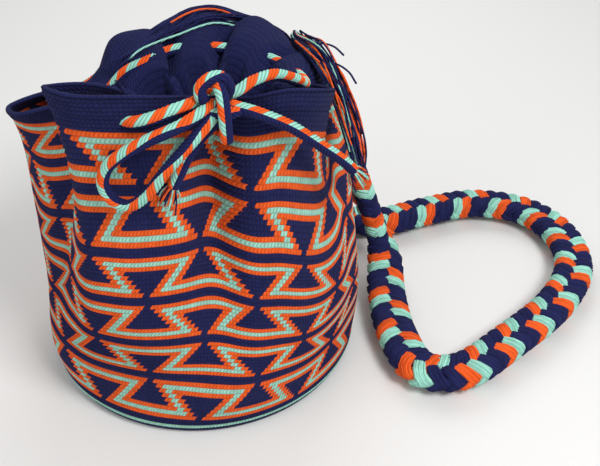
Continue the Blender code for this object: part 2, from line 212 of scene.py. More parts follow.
BOW = (
    (0.0165, -0.1085, 0.2615),
    (0.0104, -0.1105, 0.2590),
    (-0.0055, -0.1185, 0.2535),
    (-0.0225, -0.1195, 0.2470),
    (-0.0390, -0.1165, 0.2370),
    (-0.0490, -0.1130, 0.2270),
    (-0.0530, -0.1115, 0.2150),
    (-0.0490, -0.1120, 0.2040),
    (-0.0390, -0.1150, 0.2010),
    (-0.0280, -0.1180, 0.2100),
    (-0.0160, -0.1200, 0.2260),
    (-0.0020, -0.1195, 0.2415),
    (0.0097, -0.1142, 0.2518),
    (0.0160, -0.1090, 0.2580),
)
LEFT_END = (
    (0.0160, -0.1060, 0.2520),
    (0.0116, -0.1062, 0.2455),
    (0.0045, -0.1050, 0.2370),
    (-0.0030, -0.1065, 0.2270),
    (-0.0090, -0.1085, 0.2160),
    (-0.0140, -0.1090, 0.2060),
)
RIGHT_END = (
    (0.0215, -0.1080, 0.2590),
    (0.0282, -0.1088, 0.2570),
    (0.0405, -0.1110, 0.2530),
    (0.0575, -0.1100, 0.2430),
    (0.0745, -0.1060, 0.2275),
    (0.0895, -0.1000, 0.2120),
    (0.0985, -0.0940, 0.1995),
)

KNOT_ARCH = (
    (0.0120, -0.1040, 0.2600),
    (0.0075, -0.1085, 0.2640),
    (0.0070, -0.1090, 0.2710),
    (0.0125, -0.1085, 0.2760),
    (0.0190, -0.1065, 0.2755),
    (0.0225, -0.1040, 0.2690),
    (0.0225, -0.1020, 0.2610),
)
KNOT_FRONT = (
    (0.0165, -0.1020, 0.2700),
    (0.0170, -0.1090, 0.2715),
    (0.0185, -0.1150, 0.2680),
    (0.0190, -0.1180, 0.2610),
    (0.0192, -0.1190, 0.2530),
    (0.0195, -0.1180, 0.2450),
    (0.0198, -0.1155, 0.2395),
)
KNOT_TURN = (
    (0.0270, -0.1060, 0.2560),
    (0.0255, -0.1110, 0.2560),
    (0.0190, -0.1125, 0.2560),
    (0.0120, -0.1110, 0.2570),
    (0.0105, -0.1060, 0.2590),
)

# Strap: eight bundles, plaited square, four one way round and four the other. PLAIT_LAY is one whole turn.
STRAP_WIDTH = 0.036
STRAP_THICK = 0.022
PLAIT_LAY = 0.0385
BUNDLE_WIDTH = 0.0092
BUNDLE_THICK = 0.0056
# The colours of four bundles, as places in (navy, orange, mint). A bundle is five strands side by side.
BUNDLE_COLOURS = (1, 2, 0, 0)
STRAND_PITCH = 0.19 * BUNDLE_WIDTH
STRAND_WIDTH = 0.30 * BUNDLE_WIDTH
STRAND_THICK = 0.98 * BUNDLE_THICK
STRAND_DROP = 0.0002
STRAP_STEP = 0.002
PLAIT_STEPS = 16
STRAP = (
    ((-0.0173, 0.1182, 0.1688), (-0.15, 0.93, 0.33)),
    ((-0.0240, 0.1264, 0.1300), (-0.18, 0.97, 0.10)),
    ((-0.0280, 0.1320, 0.0850), (-0.20, 0.97, 0.00)),
    ((-0.0300, 0.1350, 0.0500), (-0.15, 0.90, 0.30)),
    ((-0.0260, 0.1470, 0.0260), (0.00, 0.55, 0.80)),
    ((-0.0050, 0.1620, 0.0140), (0.00, 0.00, 1.00)),
    ((0.0350, 0.1630, 0.0138), (0.00, 0.00, 1.00)),
    ((0.0780, 0.1470, 0.0138), (0.00, 0.00, 1.00)),
    ((0.1200, 0.1190, 0.0138), (0.00, 0.00, 1.00)),
    ((0.1640, 0.1020, 0.0138), (0.00, 0.00, 1.00)),
    ((0.2100, 0.1120, 0.0138), (0.00, 0.00, 1.00)),
    ((0.2600, 0.1190, 0.0138), (0.00, 0.00, 1.00)),
    ((0.3040, 0.1000, 0.0138), (0.00, 0.00, 1.00)),
    ((0.3240, 0.0600, 0.0138), (0.00, 0.00, 1.00)),
    ((0.3180, 0.0120, 0.0138), (0.00, 0.00, 1.00)),
    ((0.2840, -0.0320, 0.0138), (0.00, 0.00, 1.00)),
    ((0.2300, -0.0710, 0.0138), (0.00, 0.00, 1.00)),
    ((0.1880, -0.0950, 0.0138), (0.00, 0.00, 1.00)),
    ((0.1570, -0.0880, 0.0138), (0.00, 0.00, 1.00)),
    ((0.1480, -0.0480, 0.0138), (0.00, 0.00, 1.00)),
    ((0.1500, 0.0000, 0.0160), (0.10, 0.00, 0.99)),
    ((0.1550, 0.0380, 0.0300), (0.50, 0.00, 0.86)),
    ((0.1450, 0.0600, 0.0600), (0.90, 0.20, 0.40)),
    ((0.1310, 0.0690, 0.0960), (0.88, 0.40, 0.25)),
    ((0.1160, 0.0740, 0.1350), (0.84, 0.48, 0.25)),
    ((0.1012, 0.0739, 0.1676), (0.74, 0.54, 0.40)),
    ((0.0933, 0.0709, 0.1935), (0.60, 0.48, 0.64)),
)

# Loose yarn at the strap's ends: centres of the bundles, the way they face, their width and depth.
BINDING_LENGTH = 0.014
BINDING_WIDTH = 0.031
BINDING_DEPTH = 0.0185
WINDS = 7
YARN = 0.0013
YARN_SHIFT = 0.0078
YARN_RIGHT = (
    ((0.0835, 0.0420, 0.2275), (0.50, 0.30, 0.81), 0.016, 0.010),
    ((0.0835, 0.0220, 0.2340), (0.35, 0.10, 0.93), 0.018, 0.010),
    ((0.0885, -0.0020, 0.2367), (0.35, 0.00, 0.94), 0.020, 0.010),
    ((0.0940, -0.0260, 0.2330), (0.50, -0.20, 0.84), 0.022, 0.010),
    ((0.0990, -0.0450, 0.2220), (0.80, -0.35, 0.50), 0.025, 0.011),
    ((0.1030, -0.0600, 0.2080), (0.86, -0.42, 0.28), 0.027, 0.010),
    ((0.1065, -0.0680, 0.1930), (0.88, -0.45, 0.15), 0.024, 0.008),
    ((0.1085, -0.0710, 0.1830), (0.88, -0.45, 0.10), 0.014, 0.005),
)
YARN_BACK = (
    ((0.0722, 0.0625, 0.2262), (0.30, 0.50, 0.81), 0.017, 0.009),
    ((0.0540, 0.0550, 0.2400), (0.25, 0.40, 0.88), 0.021, 0.009),
    ((0.0330, 0.0490, 0.2505), (0.10, 0.30, 0.95), 0.025, 0.009),
    ((0.0120, 0.0370, 0.2578), (0.00, 0.20, 0.98), 0.028, 0.009),
    ((-0.0080, 0.0270, 0.2535), (-0.05, 0.10, 0.99), 0.028, 0.008),
    ((-0.0280, 0.0130, 0.2485), (-0.20, 0.05, 0.98), 0.024, 0.006),
    ((-0.0430, -0.0030, 0.2410), (-0.30, 0.00, 0.95), 0.013, 0.005),
)
YARN_LEFT = (
    ((-0.0150, 0.1045, 0.1950), (-0.10, 0.75, 0.65), 0.024, 0.010),
    ((-0.0205, 0.0930, 0.2045), (-0.10, 0.70, 0.70), 0.026, 0.010),
    ((-0.0300, 0.0840, 0.2125), (-0.15, 0.68, 0.70), 0.026, 0.009),
    ((-0.0395, 0.0745, 0.2175), (-0.20, 0.65, 0.72), 0.022, 0.007),
    ((-0.0490, 0.0675, 0.2180), (-0.20, 0.60, 0.75), 0.012, 0.005),
)

# Single yarns that lie loose over the others: the colour, and the route.
STRAY = 0.0014
STRAYS_BACK = (
    (1, (
        (0.0400, 0.0440, 0.2440), (0.0324, 0.0390, 0.2515), (0.0228, 0.0340, 0.2568),
        (0.0126, 0.0290, 0.2592), (0.0024, 0.0220, 0.2592), (-0.0078, 0.0160, 0.2565),
    )),
    (0, (
        (0.0400, 0.0450, 0.2440), (0.0310, 0.0400, 0.2530), (0.0182, 0.0340, 0.2592),
        (0.0074, 0.0290, 0.2606), (-0.0008, 0.0220, 0.2598), (-0.0095, 0.0150, 0.2555),
    )),
    (2, (
        (0.0450, 0.0350, 0.2400), (0.0308, 0.0270, 0.2485), (0.0197, 0.0205, 0.2525),
        (0.0079, 0.0140, 0.2525), (-0.0024, 0.0080, 0.2515), (-0.0158, 0.0020, 0.2500),
        (-0.0277, -0.0040, 0.2480), (-0.0370, -0.0090, 0.2435),
    )),
    (0, (
        (-0.0200, 0.0060, 0.2510), (-0.0330, -0.0040, 0.2470), (-0.0464, -0.0110, 0.2440),
    )),
    (0, (
        (-0.0220, 0.0040, 0.2500), (-0.0330, -0.0060, 0.2460), (-0.0420, -0.0130, 0.2415),
    )),
)
STRAYS_RIGHT = (
    (0, (
        (0.0830, 0.0120, 0.2360), (0.0920, 0.0030, 0.2412), (0.0995, -0.0060, 0.2425),
        (0.1050, -0.0140, 0.2395),
    )),
    (0, (
        (0.0870, -0.0150, 0.2350), (0.0970, -0.0230, 0.2385), (0.1050, -0.0310, 0.2360),
        (0.1090, -0.0390, 0.2310),
    )),
    (1, (
        (0.0835, 0.0420, 0.2250), (0.0765, 0.0150, 0.2385), (0.0800, -0.0060, 0.2420),
        (0.0870, -0.0230, 0.2400),
    )),
)


def unit(v):
    """Each vector of v at a length of one."""
    return v / np.maximum(np.linalg.norm(v, axis=-1, keepdims=True), 1e-12)


def smooth(points, per_span, closed=False):
    """The smooth curve through points, which may be one row of points or a stack of rows."""
    points = np.asarray(points, float)
    if closed:
        points = np.concatenate([points[..., -1:, :], points, points[..., :2, :]], axis=-2)
    else:
        first = 2 * points[..., :1, :] - points[..., 1:2, :]
        last = 2 * points[..., -1:, :] - points[..., -2:-1, :]
        points = np.concatenate([first, points, last], axis=-2)
    a, b, c, d = (points[..., k:points.shape[-2] - 3 + k, None, :] for k in range(4))
    t = (np.arange(per_span) / per_span)[:, None]
    bend = 2 * a - 5 * b + 4 * c - d
    change = 3 * b - a - 3 * c + d
    spans = 0.5 * (2 * b + (c - a) * t + bend * t ** 2 + change * t ** 3)
    spans = spans.reshape(*spans.shape[:-3], -1, spans.shape[-1])
    return np.concatenate([spans, points[..., -2:-1, :]], axis=-2)


def reach_of(fine):
    """How far along the curve each of its points is."""
    return np.concatenate([[0.0], np.cumsum(np.linalg.norm(np.diff(fine[:, :3], axis=0), axis=1))])


def even(fine, count):
    """count points, evenly spaced along the curve."""
    reach = reach_of(fine)
    wanted = np.linspace(0, reach[-1], count)
    return np.stack([np.interp(wanted, reach, fine[:, k]) for k in range(fine.shape[1])], axis=1)


def along(points, step):
    """Points about a step apart on the smooth curve through points."""
    fine = smooth(points, CURVE_STEPS)
    return even(fine, max(3, round(reach_of(fine)[-1] / step) + 1))


class Pile:
    """Faces that become one mesh, each with a material and, per corner, its place on the yarn: its lay."""

    def __init__(self):
        self.points, self.faces, self.slots, self.lays = [], [], [], []
        self.count = 0

    def grid(self, rings, slot, reach):
        """Closed rings of points joined in order, with a face at both ends. reach is the place of each."""
        rows, sides = rings.shape[:2]
        self.points.append(rings.reshape(-1, 3))
        step = np.arange(sides)
        start = np.arange(rows - 1)[:, None] * sides + self.count
        here, beside = start + step, start + (step + 1) % sides
        self.faces += np.stack([here, beside, beside + sides, here + sides], axis=-1).reshape(-1, 4).tolist()
        self.slots += [slot] * ((rows - 1) * sides)
        left, low, high = np.broadcast_arrays(step / sides, reach[:-1, None], reach[1:, None])
        right = left + 1 / sides
        corners = np.stack([left, low, right, low, right, high, left, high], axis=-1)
        self.lays.append(corners.reshape(-1, 2))
        for ring, at in ((step[::-1], reach[0]), (step + (rows - 1) * sides, reach[-1])):
            self.faces.append((ring + self.count).tolist())
            self.slots.append(slot)
            self.lays.append(np.tile([[0.5, at]], (sides, 1)))
        self.count += rows * sides

    def make(self, name, materials):
        mesh = bpy.data.meshes.new(name)
        mesh.from_pydata(np.concatenate(self.points).tolist(), [], self.faces)
        mesh.polygons.foreach_set("material_index", self.slots)
        mesh.polygons.foreach_set("use_smooth", [True] * len(self.faces))
        lay = mesh.uv_layers.new(name="lay")
        lay.data.foreach_set("uv", np.concatenate(self.lays).astype(np.float32).ravel())
        for material in materials:
            mesh.materials.append(material)
        made = bpy.data.objects.new(name, mesh)
        bpy.context.scene.collection.objects.link(made)
        return made


def frames(path, hint):
    """At each point of a path, the way it runs, the side nearest to the hint, and the third direction."""
    way = unit(np.gradient(path, axis=0))
    hint = np.broadcast_to(hint, path.shape)
    side = unit(hint - way * (hint * way).sum(1, keepdims=True))
    return way, side, np.cross(way, side)


def turning_frames(path, hint):
    """The same, where the side is carried along the path, so that it never turns over."""
    way = unit(np.gradient(path, axis=0))
    side = np.empty_like(path)
    last = np.asarray(hint, float)
    for i in range(len(path)):
        last = unit(last - way[i] * (last @ way[i]))
        side[i] = last
    return way, side, np.cross(way, side)


def tube(pile, path, width, thick, sides, slot, side, out):
    """An oval tube along path, width across and thick out of its broad face."""
    turn = 2 * np.pi * np.arange(sides) / sides
    width = np.broadcast_to(width, len(path))[:, None, None]
    thick = np.broadcast_to(thick, len(path))[:, None, None]
    ring = (side[:, None] * np.cos(turn)[:, None] * width / 2
            + out[:, None] * np.sin(turn)[:, None] * thick / 2)
    pile.grid(path[:, None] + ring, slot, reach_of(path))


# Materials


class Nodes:
    """Short words for a material's nodes."""

    def __init__(self, material):
        self.tree = material.node_tree
        self.shader = self.tree.nodes["Principled BSDF"]

    def add(self, kind, inputs=(), **settings):
        node = self.tree.nodes.new(kind)
        for key, value in settings.items():
            setattr(node, key, value)
        for key, value in dict(inputs).items():
            self.put(node.inputs[key], value)
        return node

    def put(self, socket, value):
        if isinstance(value, bpy.types.NodeSocket):
            self.tree.links.new(value, socket)
        elif hasattr(socket.default_value, "__len__") and len(value) == 3 and len(socket.default_value) == 4:
            socket.default_value = (*value, 1.0)
        else:
            socket.default_value = value

    def math(self, operation, *values):
        return self.add("ShaderNodeMath", dict(enumerate(values)), operation=operation).outputs[0]

    def plus(self, *values):
        total = values[0]
        for value in values[1:]:
            total = self.math("ADD", total, value)
        return total

    def minus(self, a, b):
        return self.math("SUBTRACT", a, b)

    def times(self, *values):
        product = values[0]
        for value in values[1:]:
            product = self.math("MULTIPLY", product, value)
        return product

    def over(self, a, b):
        return self.math("DIVIDE", a, b)

    def floor(self, value):
        return self.math("FLOOR", value)

    def size(self, value):
        return self.math("ABSOLUTE", value)

    def more(self, a, b):
        return self.math("GREATER_THAN", a, b)

    def less(self, a, b):
        return self.math("LESS_THAN", a, b)

    def mix(self, share, a, b):
        node = self.add("ShaderNodeMix", data_type="RGBA")
        for key, value in ((0, share), (6, a), (7, b)):
            self.put(node.inputs[key], value)
        return node.outputs[2]

    def noise(self, scale, detail):
        where = self.add("ShaderNodeTexCoord").outputs["Object"]
        inputs = {"Scale": scale, "Detail": detail, "Vector": where}
        return self.add("ShaderNodeTexNoise", inputs).outputs["Fac"]

    def lay(self):
        """Where a point is round its yarn, from 0 to 1, and how far along it."""
        lay = self.add("ShaderNodeUVMap", uv_map="lay").outputs[0]
        split = self.add("ShaderNodeSeparateXYZ", {0: lay})
        return split.outputs[0], split.outputs[1]

    def ply(self, turn):
        """The round back of a ply, once for every whole turn."""
        return self.size(self.math("SINE", self.times(turn, math.pi)))

    def finish(self, colour, height, distance):
        """The material's colour, and its relief as a bump."""
        self.put(self.shader.inputs["Base Color"], colour)
        bump = self.add("ShaderNodeBump", {"Strength": 1.0, "Distance": distance, "Height": height})
        self.put(self.shader.inputs["Normal"], bump.outputs[0])


def cotton(name, colour):
    """Matt, slightly furry cotton."""
    material = bpy.data.materials.new(name)
    material.use_nodes = True
    shader = material.node_tree.nodes["Principled BSDF"]
    shader.inputs["Base Color"].default_value = (*colour, 1.0)
    shader.inputs["Roughness"].default_value = 0.90
    shader.inputs["Specular IOR Level"].default_value = 0.12
    shader.inputs["Sheen Weight"].default_value = 0.02
    shader.inputs["Sheen Roughness"].default_value = 0.40
    return material


def shades(colour, low, high, lift=0.0):
    """The darkest and the lightest shade of a colour, the ends between which painted shade and random tone
    mix it.
    """
    return tuple(c * low for c in colour), tuple(min(1.0, c * high + lift) for c in colour)


def yarn_material(name, colour, plies, lay):
    """Yarn of twisted plies: the twist shows as slanted furrows, darkened with painted shade, and the colour
    varies a little along it.
    """
    material = cotton(name, colour)
    n = Nodes(material)
    around, reach = n.lay()
    twist = n.ply(n.plus(n.times(around, float(plies)), n.over(reach, lay)))
    fibre = n.noise(2600.0, 3.0)
    tone = n.noise(160.0, 2.0)
    # Painted shade in the furrows between plies, mixed with tone that varies at random.
    painted_shade_and_tone = n.times(n.plus(n.times(twist, 0.6), n.times(tone, 0.7)), 0.85)
    dark, light = shades(colour, 0.62, 1.22, 0.004)
    n.finish(n.mix(painted_shade_and_tone, dark, light), n.plus(twist, n.times(fibre, 0.5)), 0.0004)
    return material


def three_yarns(kind, plies, lay):
    """The navy, orange and mint yarn of one kind."""
    colours = (("navy", NAVY), ("orange", ORANGE), ("mint", MINT))
    return [yarn_material(f"{name}_{kind}", colour, plies, lay) for name, colour in colours]


def cord_material():
    """The drawstring's plies, slanted one way on its coloured half and the other way on its navy half."""
    material = cotton("braided_cotton", MINT)
    n = Nodes(material)
    around, reach = n.lay()
    aside = n.minus(n.math("FRACT", n.plus(around, 0.5)), 0.5)
    navy = n.more(n.size(aside), CORD_COLOURED / 2)
    lays = n.over(reach, CORD_LAY)
    coloured_turn = n.plus(lays, n.times(aside, CORD_SLANT))
    navy_turn = n.minus(lays, n.times(around, CORD_SLANT))
    coloured_ply, navy_ply = (n.math("POWER", n.ply(turn), 0.6) for turn in (coloured_turn, navy_turn))
    ply = n.plus(coloured_ply, n.times(navy, n.minus(navy_ply, coloured_ply)))
    block = n.math("FLOORED_MODULO", n.floor(n.over(n.floor(coloured_turn), float(CORD_BLOCK))), 2.0)
    fibre = n.noise(2600.0, 3.0)
    # Painted shade darkens the furrows between plies; the fibre noise varies the tone at random.
    painted_shade_and_tone = n.plus(n.times(ply, 0.75), n.times(fibre, 0.35))
    orange_yarn, mint_yarn, navy_yarn = (n.mix(painted_shade_and_tone, *shades(colour, 0.45, 1.12))
                                         for colour in (ORANGE, MINT, NAVY))
    colour = n.mix(navy, n.mix(block, orange_yarn, mint_yarn), navy_yarn)
    n.finish(colour, n.plus(ply, n.times(fibre, 0.4)), 0.0004)
    return material


def hourglasses(n, stitch, up):
    """The pattern: the share of coloured yarn in a stitch, and the share of mint in the coloured yarn.

    A band's lines follow the outline of its hourglasses. Its upper and its lower half are counted from the
    hourglass that opens to that side, so the lower half is shifted by half a repeat."""
    height = n.minus(up, PATTERN_FROM)
    band = n.floor(n.over(height, float(BAND_PITCH)))
    row = n.floor(n.minus(height, n.times(band, float(BAND_PITCH))))
    half = (BAND - 1) / 2
    from_middle = n.minus(row, half)
    depth = n.minus(half, n.size(from_middle))
    turned = n.plus(n.floor(stitch), PATTERN_TURN, n.times(band, REPEAT / 2))
    column = n.math("FLOORED_MODULO", turned, float(REPEAT))
    aside = n.size(n.minus(n.plus(column, 0.5), REPEAT / 2))
    lower = n.less(from_middle, 0.25)
    aside = n.plus(n.times(aside, n.minus(1.0, n.times(lower, 2.0))), n.times(lower, REPEAT / 2))
    outside = n.minus(n.minus(aside, 1.0), depth)
    line = n.math("MINIMUM", n.times(outside, 0.5), n.plus(depth, 0.5))
    in_band = n.times(n.less(row, BAND - 0.5), n.more(band, -0.5), n.less(band, BANDS - 0.5))
    coloured = n.times(in_band, n.more(outside, 0.0), n.less(line, 3.0))
    mint = n.times(n.more(line, 1.0), n.less(line, 2.0))
    return coloured, mint


def crochet_material():
    """The wall's stitches and their colours. The lay of the mesh counts stitches round and rows up."""
    material = cotton("crocheted_cotton", NAVY)
    n = Nodes(material)
    around, up = n.lay()
    within = n.math("FRACT", up)
    middle = n.minus(n.times(within, 2.0), 1.0)
    shift = n.plus(n.times(within, LEAN), n.times(n.math("POWER", n.size(middle), 2.0), ROUNDING))
    stitch = n.minus(n.times(around, float(STITCHES)), shift)
    coloured, mint = hourglasses(n, stitch, up)
    edge = n.times(n.more(up, 0.0), n.less(up, 1.0))

    # Each stitch differs a little in tone, and painted shade darkens the furrows round it.
    spot = n.add("ShaderNodeCombineXYZ", {0: n.floor(stitch), 1: n.floor(up)}).outputs[0]
    own = n.add("ShaderNodeTexWhiteNoise", {"Vector": spot}, noise_dimensions="2D").outputs["Value"]
    fibre = n.noise(2400.0, 3.0)
    tone = n.noise(90.0, 2.0)
    back = n.times(n.ply(stitch), n.math("SINE", n.times(within, math.pi)))
    back = n.math("POWER", n.math("MAXIMUM", back, 0.0), 0.45)
    painted_shade_and_tone = n.plus(n.times(back, 0.5), n.times(own, 0.22), n.times(tone, 0.34))

    navy_yarn, orange_yarn = (n.mix(painted_shade_and_tone, *shades(colour, 0.50, 1.16, 0.003)) for colour in (NAVY, ORANGE))
    mint_yarn = n.mix(painted_shade_and_tone, MINT_SHADED, shades(MINT, 0.50, 1.16, 0.003)[1])
    colour = n.mix(coloured, navy_yarn, n.mix(mint, orange_yarn, mint_yarn))
    colour = n.mix(edge, colour, mint_yarn)
    n.finish(colour, n.plus(back, n.times(fibre, 0.35)), 0.0007)
    return material


# The bag


def rim_round():
    """For every stitch round: its angle in degrees, the rim, how deep it folds and how high it rolls."""
    degrees = RIM[0][0] + 360 * np.arange(STITCHES) / STITCHES
    knots = np.array([p[0] for p in RIM] + [RIM[0][0] + 360], float)
    share = np.interp(degrees, knots, np.arange(len(knots))) * RIM_STEPS
    fine = smooth([p[1:] for p in RIM], RIM_STEPS, closed=True)
    rim = np.stack([np.interp(share, np.arange(len(fine)), fine[:, k]) for k in range(5)], axis=1)
    return degrees, rim[:, :3], rim[:, 3], rim[:, 4]


def wall_stations(degrees, rim, fold):
    """The wall at the edge of the base and at the three heights above it, turned, folded and sagging."""
    stations = []
    for (radius, high), part, twist in zip(((EDGE_RADIUS, EDGE_HIGH), *WALL), FOLD_PARTS, TWIST):
        angle = np.radians(degrees + twist)
        out = np.stack([np.cos(angle), np.sin(angle), np.zeros(STITCHES)], axis=1)
        high = high - (RIM_HIGH - rim[:, 2]) * 0.5 * part
        sag = 0.0
        if stations:
            sag = sum(deep * np.cos(waves * angle + turn) * np.exp(-(((high - at) / tall) ** 2))
                      for deep, waves, at, tall, turn in SAGS)
        stations.append(out * (radius + sag - fold * part)[:, None] + UP * high[:, None])
    return stations


def gathered(degrees, rim, roll, shoulder, inwards):
    """Above the shoulder: the steep part, the lip, which leans over a hidden cord, and the rim."""
    top = (shoulder + rim) / 2
    top[:, 2] = shoulder[:, 2] + (rim[:, 2] - shoulder[:, 2]) * 0.70 + roll
    shows = sum(np.exp(-((degrees - at) / CORD_SHOWS_WIDE) ** 2) for at in CORD_SHOWS)
    over = (np.clip(roll / FULL_ROLL, 0, 1) * (1 - np.clip(shows, 0, 1)))[:, None]
    lip = (top + rim) / 2 + (inwards * ROLL_LEAN + UP * ROLL_OVER) * over
    brink = rim + (inwards * ROLL_LEAN + UP * ROLL_OVER * 0.5) * over
    return top, lip, brink


def tucked(column, inwards, rolled):
    """A column with the cloth behind its rim: hung into the mouth from a roll, and narrow elsewhere."""
    hang = np.linspace(0, 1, 2 * TUCK_ROWS + 1)[1:, None]
    drop = column[-1] + inwards * 0.010 * np.sin(hang * 2.2) - UP * TUCK * hang
    rise = unit(column[-1] - column[-9]) * RIM_ROUND * hang
    return np.concatenate([column, column[-1] * (1 - rolled) + drop * rolled + rise * (1 - rolled)])


def row_reaches(reach, low, rolled):
    """How far up its column each half row is. Rows hang by low, and the plain rows spread over a roll."""
    share = np.interp(np.arange(2 * ROWS + 1) / 2, *zip(*ROW_HEIGHTS))
    wall = reach[-1 - 2 * TUCK_ROWS]
    settled = np.concatenate([(share - low * np.sin(np.pi * share)) * wall, reach[-2 * TUCK_ROWS:]])
    rows = np.arange(len(settled)) / 2
    last_band = PATTERN_FROM + BAND_PITCH * BANDS - 2
    plain = np.clip((rows - last_band) / (ROWS + TUCK_ROWS - last_band), 0, 1)
    lower = settled * (1 - ROLL_PLAIN * rolled)
    start = np.interp(last_band, rows, lower)
    on_roll = np.where(plain > 0, start + (reach[-1] - start) * plain, lower)
    return settled * (1 - rolled) + on_roll * rolled


def wall_columns():
    """The outer face of the cloth: for every stitch round, two points a row from the edge of the base up to
    the rim, and on down the cloth that is tucked into the mouth."""
    degrees, rim, fold, roll = rim_round()
    inwards = unit(rim * [-1, -1, 0] + MOUTH)
    stations = wall_stations(degrees, rim, fold)
    stations += gathered(degrees, rim, roll, stations[-1], inwards)
    fine = smooth(np.stack(stations, axis=1), WALL_STEPS)
    droop = np.interp(degrees, *zip(*DROOP), period=360)
    blur = np.hanning(DROOP_BLUR) / np.hanning(DROOP_BLUR).sum()
    droop = np.convolve(np.tile(droop, 3), blur, "same")[STITCHES:2 * STITCHES]
    columns = []
    for column, low, rolled, way in zip(fine, droop, np.clip(roll / FULL_ROLL, 0, 1), inwards):
        column = tucked(column, way, rolled)
        reach = reach_of(column)
        wanted = row_reaches(reach, low, rolled)
        columns.append(np.stack([np.interp(wanted, reach, column[:, k]) for k in range(3)], axis=1))
    return np.stack(columns)


def bag(material):
    """The cloth as one closed mesh: under the base, up the wall, over the rim and down the inside."""
    columns = wall_columns()
    around = np.roll(columns, -1, axis=0) - np.roll(columns, 1, axis=0)
    rise = np.gradient(columns, axis=1)
    outer = columns.transpose(1, 0, 2)
    normal = unit(np.cross(around, rise)).transpose(1, 0, 2)
    rows = np.arange(len(outer)) / 2
    relief = np.where(np.arange(len(outer)) % 2 == 1, ROW_RELIEF, -ROW_RELIEF)[:, None, None]
    relief = relief * np.clip(np.linalg.norm(rise, axis=-1).T[:, :, None] / FULL_RELIEF, 0, 1)
    flat = unit(outer[0] * [1, 1, 0])

    rings = [(-rows_in, flat * radius) for radius, rows_in in BASE_ROWS]
    radius, high, rows_in = BASE_TURN
    rings.append((-rows_in, flat * radius + UP * high))
    rings += zip(rows, outer + normal * relief)
    rings.append((rows[-1] + 0.3, outer[-1] - normal[-1] * CLOTH / 2 + unit(rise[:, -1]) * RIM_ROUND))
    rings += zip(rows[::-4], (outer - normal * CLOTH)[::-4])
    rings += [(-rows_in, flat * radius + UP * CLOTH) for radius, rows_in in BASE_ROWS[::-1]]
    counts, points = zip(*rings)
    pile = Pile()
    pile.grid(np.array(points), 0, np.array(counts, float))
    return pile.make("crochet_bag", [material])


# The drawstring


def aside(ways):
    """Those directions, turned to lie almost square to the camera's view of the bow."""
    view = unit(np.array(BOW_VIEW))
    ways = np.asarray(ways, float)
    return unit(ways - view * (ways @ view)[..., None]) + view * 0.08


def braid(name, path, look, material):
    """The round braid along a path. look is the way that its coloured half faces."""
    reach = reach_of(path)
    _, side, third = frames(path, look)
    share = np.arange(CORD_SIDES) / CORD_SIDES
    from_middle = (share + 0.5) % 1 - 0.5
    lays = reach[:, None] / CORD_LAY
    coloured = np.abs(from_middle) < CORD_COLOURED / 2
    turn = np.where(coloured, lays + from_middle * CORD_SLANT, lays - share * CORD_SLANT)
    ply = np.abs(np.sin(np.pi * turn))
    seam = np.minimum(np.abs(np.abs(from_middle) - CORD_COLOURED / 2) * CORD_SIDES / 2, 1)
    ends = np.sqrt(np.clip(np.minimum(reach, reach[-1] - reach) / 0.002, 0.02, 1))[:, None]
    radius = (CORD / 2 - CORD_RELIEF * (1 - ply * seam)) * ends
    angle = 2 * np.pi * share
    out = side[:, None] * np.cos(angle)[:, None] + third[:, None] * np.sin(angle)[:, None]
    pile = Pile()
    pile.grid(path[:, None] + out * radius[:, :, None], 0, reach)
    return pile.make(name, [material])


def frayed(name, path, yarns):
    """The loose yarns where the braid ends."""
    end, way = path[-1], unit(path[-1] - path[-4])
    side = unit(np.cross(way, [0.3, 0.2, 1.0]))
    other = np.cross(way, side)
    draw = np.random.default_rng(FRAY_SEED)
    pile = Pile()
    for _ in range(FRAY_YARNS):
        angle = draw.uniform(0, 2 * np.pi)
        out = math.sqrt(draw.uniform(0, 1))
        spread = side * math.cos(angle) + other * math.sin(angle)
        start = end + spread * out * CORD * 0.36 - way * 0.002
        far = start + way * FRAY * draw.uniform(0.6, 1.0) + spread * FRAY * draw.uniform(0.1, 0.45)
        far = far - UP * 0.004 * draw.uniform(0, 1)
        route = along([start, (start + far) / 2 + spread * 0.001, far], 0.003)
        _, across, third = turning_frames(route, side)
        tube(pile, route, FRAY_THICK, FRAY_THICK, 5, int(draw.choice(FRAY_COLOURS)), across, third)
    return pile.make(name, yarns)


def knot(material):
    """The bow's knot: the small arch at its top, the cord down its front and the turn that holds it."""
    looks = (aside((-0.75, 0.0, 0.66)), aside((-1.0, 0.0, 0.0)), aside((0.0, 0.0, 1.0)))
    return [braid(f"knot_part_{i}", along(part, CORD_STEP), look, material)
            for i, (part, look) in enumerate(zip((KNOT_ARCH, KNOT_FRONT, KNOT_TURN), looks))]


def drawstring(yarns):
    """The one cord of the bag: round its mouth, the loop of the bow, the two ends and the knot."""
    material = cord_material()
    mouth, loop, left, right = (along(points, CORD_STEP) for points in (THREADED, BOW, LEFT_END, RIGHT_END))
    mouth_looks = aside(unit(mouth - np.array(CORD_MIDDLE))) + UP * 0.9
    loop_looks = aside(loop - np.mean(BOW, axis=0))
    cords = (
        ("cord_round_mouth", "drawstring", mouth, mouth_looks, "object"),
        ("cord_bow", "drawstring_bow", loop, loop_looks, "object"),
        ("cord_left_end", "drawstring_left_end", left, aside((-0.8, 0.0, 0.4)), "bare"),
        ("cord_right_end", "drawstring_right_end", right, aside((0.4, 0.0, 1.0)), "bare"),
    )
    for name, node, path, look, far_end in cords:
        piece = braid(name, path, look, material)
        dress(piece, "mint_cotton", node)
        if far_end == "bare":
            dress(frayed(name + "_yarns", path, yarns), "mint_cotton", node)
    for part in knot(material):
        dress(part, "mint_cotton", "drawstring_knot")


# The strap


def strap_frames(count):
    """count points along the strap's middle, the way across it there and the way that its face looks."""
    middle = even(along([p for p, face in STRAP], STRAP_STEP), count)
    chords = reach_of(np.array([p for p, face in STRAP]))
    at = np.linspace(0, chords[-1], count)
    face = np.stack([np.interp(at, chords, [f[k] for p, f in STRAP]) for k in range(3)], axis=1)
    way = unit(np.gradient(middle, axis=0))
    across = unit(np.cross(face, way))
    return middle, across, np.cross(way, across)


